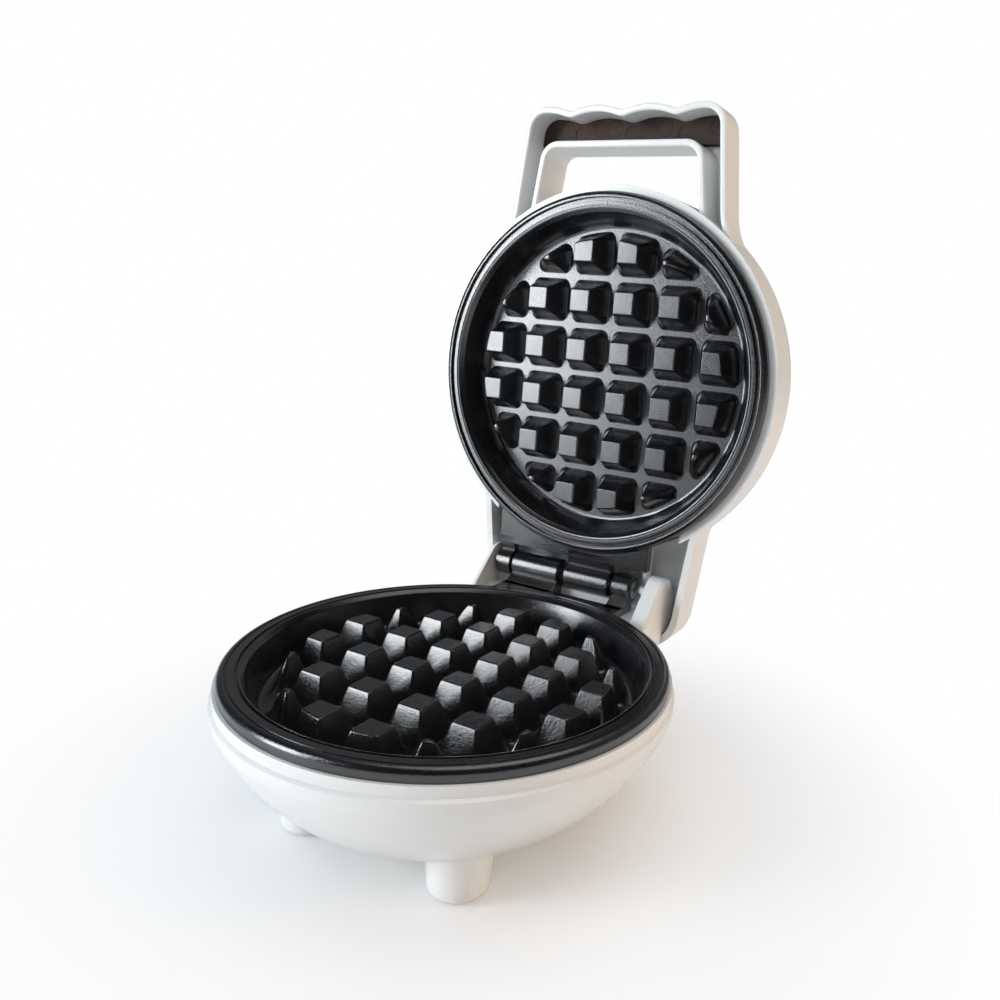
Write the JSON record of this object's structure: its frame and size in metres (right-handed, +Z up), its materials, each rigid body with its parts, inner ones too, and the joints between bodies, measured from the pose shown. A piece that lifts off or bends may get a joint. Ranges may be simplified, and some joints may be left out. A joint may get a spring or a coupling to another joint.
{
  "type": "mini waffle maker",
  "caption": "Small round waffle maker: a domed lid with a scalloped finger handle, hinged behind a footed bowl, with square-grid non-stick plates.",
  "frame": {"origin": "on the table, under the middle of the bounding box with the lid open on its stop", "axes": "+Z up, +Y from the front to the hinge, +X to the right seen from the front"},
  "size_m": [0.132, 0.1714, 0.2194],
  "materials": {
    "white_shell": "smooth moulded white, semi-gloss",
    "brown_insert": "dark brown moulded plastic, satin",
    "nonstick_plate": "black non-stick coating on cast aluminium, fine satin grain",
    "foot_pad": "thin black rubber pads",
    "element_sheath": "dull metal-sheathed tube",
    "shield_sheet": "thin pressed sheet",
    "zinc_steel": "zinc-plated steel",
    "pin_steel": "ground steel pin",
    "thermostat_body": "dark phenolic body",
    "fuse_sleeve": "woven glass sleeve",
    "ceramic_block": "unglazed ceramic",
    "black_rubber": "soft black",
    "braided_sleeve": "woven glass sleeving",
    "lead_insulation": "heat-proof silicone insulation",
    "amber_lens": "translucent amber",
    "lamp_glass": "small neon lamp"
  },
  "bodies": {
    "base": {"base_housing": "white_shell", "base_screw_1": "zinc_steel", "base_screw_2": "zinc_steel", "base_screw_3": "zinc_steel", "bracket_screw_left": "zinc_steel", "bracket_screw_right": "zinc_steel", "cord_bushing": "black_rubber", "foot_pad_front_left": "foot_pad", "foot_pad_front_right": "foot_pad", "foot_pad_rear_left": "foot_pad", "foot_pad_rear_right": "foot_pad", "fuse_lead_back": "lead_insulation", "fuse_lead_front": "lead_insulation", "hinge_lead_base": "braided_sleeve", "hinge_pin": "pin_steel", "lower_clamp_screw_1": "zinc_steel", "lower_clamp_screw_2": "zinc_steel", "lower_clamp_screw_3": "zinc_steel", "lower_element_clamp_1": "zinc_steel", "lower_element_clamp_2": "zinc_steel", "lower_element_clamp_3": "zinc_steel", "lower_heat_shield": "shield_sheet", "lower_heating_element": "element_sheath", "lower_plate": "nonstick_plate", "pin_clip": "zinc_steel", "supply_lead": "lead_insulation", "terminal_block": "ceramic_block", "thermal_fuse": "fuse_sleeve", "thermostat": "thermostat_body", "thermostat_bracket": "zinc_steel", "thermostat_lead": "lead_insulation"},
    "lid": {"handle_insert": "brown_insert", "hinge_lead_lid": "braided_sleeve", "indicator_lamp": "lamp_glass", "indicator_lens": "amber_lens", "lamp_lead_left": "lead_insulation", "lamp_lead_right": "lead_insulation", "lens_nut": "zinc_steel", "lid_housing": "white_shell", "lid_lead_left": "lead_insulation", "lid_lead_right": "lead_insulation", "lid_screw_left": "zinc_steel", "lid_screw_right": "zinc_steel", "upper_clamp_screw_1": "zinc_steel", "upper_clamp_screw_2": "zinc_steel", "upper_clamp_screw_3": "zinc_steel", "upper_element_clamp_1": "zinc_steel", "upper_element_clamp_2": "zinc_steel", "upper_element_clamp_3": "zinc_steel", "upper_heat_shield": "shield_sheet", "upper_heating_element": "element_sheath", "upper_plate": "nonstick_plate"}
  },
  "joints": [
    {"name": "lid_hinge", "type": "hinge", "parent": "base", "child": "lid", "pos_m": [0, 0.0535, 0.0526], "axis": [1, 0, 0], "range_deg": [0, 91.8]}
  ]
}
